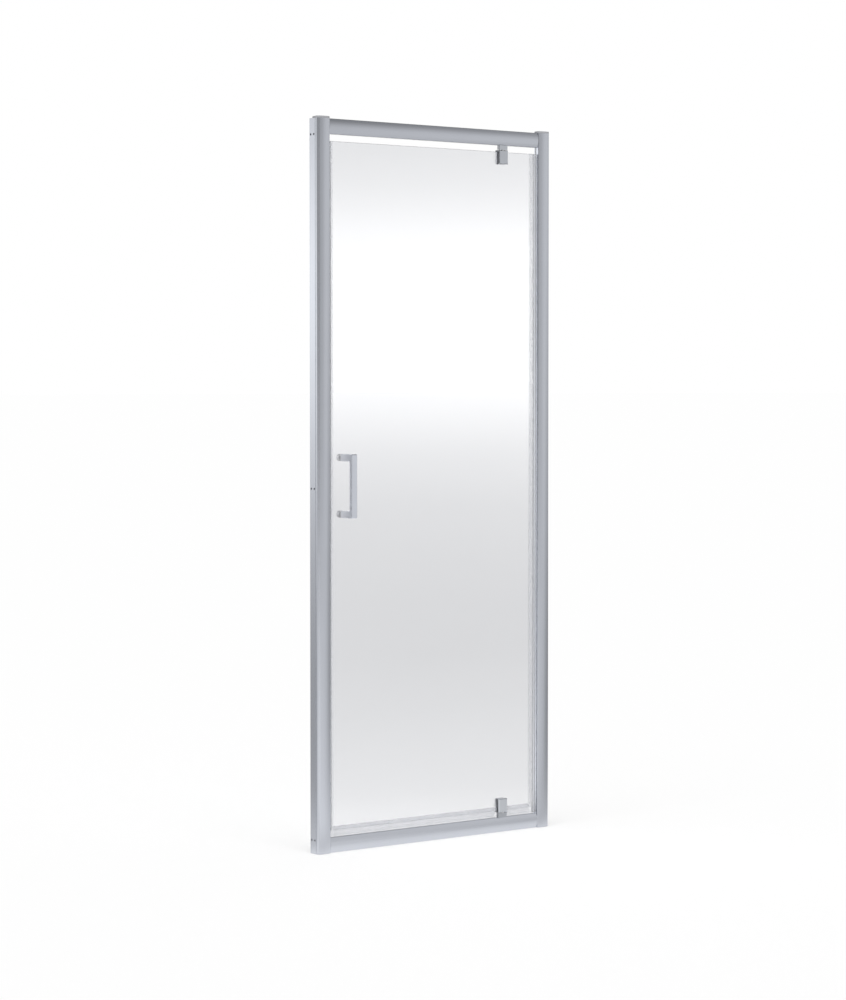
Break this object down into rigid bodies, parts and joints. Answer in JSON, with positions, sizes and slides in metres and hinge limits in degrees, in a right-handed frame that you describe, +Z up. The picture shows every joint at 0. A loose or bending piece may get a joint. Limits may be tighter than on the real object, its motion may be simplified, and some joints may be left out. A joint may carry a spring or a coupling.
{
  "type": "pivot shower door",
  "caption": "Framed shower door: a clear glass pane swings on top and bottom pivots between bowed aluminium posts and rails, with a square pull handle and edge seals.",
  "frame": {"origin": "underside of the bottom rail at mid width, in the middle plane of the glass", "axes": "+X along the door towards the pivot side, +Y from the outside to the inside, +Z up"},
  "size_m": [0.76, 0.077, 1.85],
  "materials": {
    "satin_aluminium": "satin anodised",
    "grey_plastic": "moulded, satin",
    "chrome": "polished plating",
    "clear_glass": "clear toughened",
    "clear_seal": "translucent",
    "magnet": "bonded magnet strip",
    "steel": "stainless",
    "nylon": "moulded",
    "gasket": "translucent soft"
  },
  "bodies": {
    "frame": {"wall_channel_left": "satin_aluminium", "wall_channel_right": "satin_aluminium", "jamb_left": "satin_aluminium", "jamb_right": "satin_aluminium", "top_rail": "satin_aluminium", "bottom_rail": "satin_aluminium", "jamb_cap_left": "grey_plastic", "jamb_cap_right": "grey_plastic", "screw_cover_caps": "grey_plastic", "top_pivot_bracket": "chrome", "bottom_pivot_bracket": "chrome", "jamb_magnet_holder": "clear_seal", "jamb_slot_infill": "clear_seal", "jamb_magnet_strip": "magnet", "rail_screws": "steel", "jamb_fixing_screws": "steel", "top_bracket_screws": "steel", "bottom_bracket_screws": "steel", "top_pivot_pin": "steel", "bottom_pivot_pin": "steel"},
    "door": {"glass_panel": "clear_glass", "door_magnet_seal": "clear_seal", "door_magnet_strip": "magnet", "hinge_edge_seal": "clear_seal", "bottom_drip_seal": "clear_seal", "pull_handle": "chrome", "handle_grommets": "gasket", "handle_studs": "steel", "handle_inner_knobs": "chrome", "top_hinge_block": "chrome", "bottom_hinge_block": "chrome", "top_hinge_back_plate": "chrome", "bottom_hinge_back_plate": "chrome", "top_hinge_gaskets": "gasket", "bottom_hinge_gaskets": "gasket", "top_hinge_screws": "steel", "bottom_hinge_screws": "steel", "top_hinge_bush": "nylon", "bottom_hinge_bush": "nylon"}
  },
  "joints": [
    {"name": "door_swing", "type": "hinge", "parent": "frame", "child": "door", "pos_m": [0.221, -0.0085, 0], "axis": [0, 0, 1], "range_deg": [0, 90]}
  ]
}
